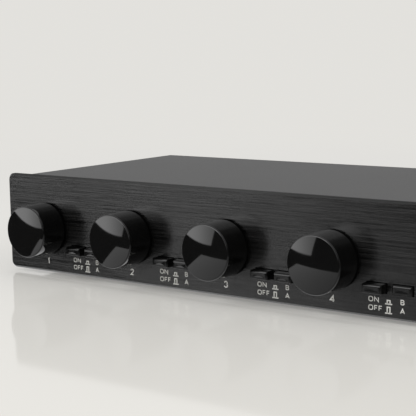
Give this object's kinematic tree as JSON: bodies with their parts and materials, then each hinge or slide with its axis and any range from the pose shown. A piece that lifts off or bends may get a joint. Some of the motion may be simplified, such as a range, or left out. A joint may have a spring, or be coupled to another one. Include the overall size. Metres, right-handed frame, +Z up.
{
  "type": "speaker selector switch",
  "caption": "Desktop speaker selector: a low black metal case whose front panel carries a row of volume knobs, each with an on/off and a source push button.",
  "frame": {"origin": "on the surface that the feet stand on, under the middle of the whole box", "axes": "+X to the right of someone facing the panel, +Y from the panel to the rear terminals, +Z up"},
  "size_m": [0.306, 0.1758, 0.06],
  "materials": {
    "black_anodised_panel": "brushed and anodised black",
    "black_painted_steel": "fine satin powder coat",
    "foot_rubber": "matte moulded rubber",
    "black_screw_steel": "black oxide",
    "plated_steel": "bright zinc plate",
    "shaft_steel": "turned",
    "glossy_black_knob": "polished moulding",
    "button_plastic": "satin moulding",
    "switch_moulding": "moulded",
    "transformer_steel": "varnished laminations",
    "board_laminate": "solder mask",
    "ribbon_insulation": "smooth",
    "terminal_green": "moulded"
  },
  "bodies": {
    "case": {"front_panel": "black_anodised_panel", "chassis": "black_painted_steel", "top_cover": "black_painted_steel", "foot_front_left": "foot_rubber", "foot_front_right": "foot_rubber", "foot_rear_left": "foot_rubber", "foot_rear_right": "foot_rubber", "foot_screws": "black_screw_steel", "cover_screws": "black_screw_steel", "board_screws": "plated_steel", "autoformer_screws": "plated_steel", "terminal_screws": "plated_steel", "control_nuts": "plated_steel", "control_washers": "plated_steel", "volume_switch_1": "switch_moulding", "switch_block_1": "switch_moulding", "autoformer_1": "transformer_steel", "volume_switch_2": "switch_moulding", "switch_block_2": "switch_moulding", "autoformer_2": "transformer_steel", "volume_switch_3": "switch_moulding", "switch_block_3": "switch_moulding", "autoformer_3": "transformer_steel", "volume_switch_4": "switch_moulding", "switch_block_4": "switch_moulding", "autoformer_4": "transformer_steel", "front_board": "board_laminate", "rear_board": "board_laminate", "board_spacers": "plated_steel", "ribbon_cable": "ribbon_insulation", "speaker_output_1_socket": "terminal_green", "speaker_output_1_plug": "terminal_green", "speaker_output_2_socket": "terminal_green", "speaker_output_2_plug": "terminal_green", "speaker_output_3_socket": "terminal_green", "speaker_output_3_plug": "terminal_green", "speaker_output_4_socket": "terminal_green", "speaker_output_4_plug": "terminal_green", "amplifier_input_a_socket": "terminal_green", "amplifier_input_a_plug": "terminal_green", "amplifier_input_b_socket": "terminal_green", "amplifier_input_b_plug": "terminal_green"},
    "knob_1": {"knob_1": "glossy_black_knob", "control_shaft_1": "shaft_steel"},
    "on_off_button_1": {"on_off_button_1": "button_plastic"},
    "source_button_1": {"source_button_1": "button_plastic"},
    "knob_2": {"knob_2": "glossy_black_knob", "control_shaft_2": "shaft_steel"},
    "on_off_button_2": {"on_off_button_2": "button_plastic"},
    "source_button_2": {"source_button_2": "button_plastic"},
    "knob_3": {"knob_3": "glossy_black_knob", "control_shaft_3": "shaft_steel"},
    "on_off_button_3": {"on_off_button_3": "button_plastic"},
    "source_button_3": {"source_button_3": "button_plastic"},
    "knob_4": {"knob_4": "glossy_black_knob", "control_shaft_4": "shaft_steel"},
    "on_off_button_4": {"on_off_button_4": "button_plastic"},
    "source_button_4": {"source_button_4": "button_plastic"}
  },
  "joints": [
    {"name": "volume_turn_1", "type": "hinge", "parent": "case", "child": "knob_1", "pos_m": [-0.1207, -0.0681, 0.0286], "axis": [0, 1, 0], "range_deg": [-150, 150]},
    {"name": "on_off_press_1", "type": "slide", "parent": "case", "child": "on_off_button_1", "axis": [0, 1, 0], "range_m": [0, 0.0042]},
    {"name": "source_press_1", "type": "slide", "parent": "case", "child": "source_button_1", "axis": [0, 1, 0], "range_m": [0, 0.0042]},
    {"name": "volume_turn_2", "type": "hinge", "parent": "case", "child": "knob_2", "pos_m": [-0.0557, -0.0681, 0.0286], "axis": [0, 1, 0], "range_deg": [-150, 150]},
    {"name": "on_off_press_2", "type": "slide", "parent": "case", "child": "on_off_button_2", "axis": [0, 1, 0], "range_m": [0, 0.0042]},
    {"name": "source_press_2", "type": "slide", "parent": "case", "child": "source_button_2", "axis": [0, 1, 0], "range_m": [0, 0.0042]},
    {"name": "volume_turn_3", "type": "hinge", "parent": "case", "child": "knob_3", "pos_m": [0.0093, -0.0681, 0.0286], "axis": [0, 1, 0], "range_deg": [-150, 150]},
    {"name": "on_off_press_3", "type": "slide", "parent": "case", "child": "on_off_button_3", "axis": [0, 1, 0], "range_m": [0, 0.0042]},
    {"name": "source_press_3", "type": "slide", "parent": "case", "child": "source_button_3", "axis": [0, 1, 0], "range_m": [0, 0.0042]},
    {"name": "volume_turn_4", "type": "hinge", "parent": "case", "child": "knob_4", "pos_m": [0.0743, -0.0681, 0.0286], "axis": [0, 1, 0], "range_deg": [-150, 150]},
    {"name": "on_off_press_4", "type": "slide", "parent": "case", "child": "on_off_button_4", "axis": [0, 1, 0], "range_m": [0, 0.0042]},
    {"name": "source_press_4", "type": "slide", "parent": "case", "child": "source_button_4", "axis": [0, 1, 0], "range_m": [-0.0042, 0]}
  ]
}
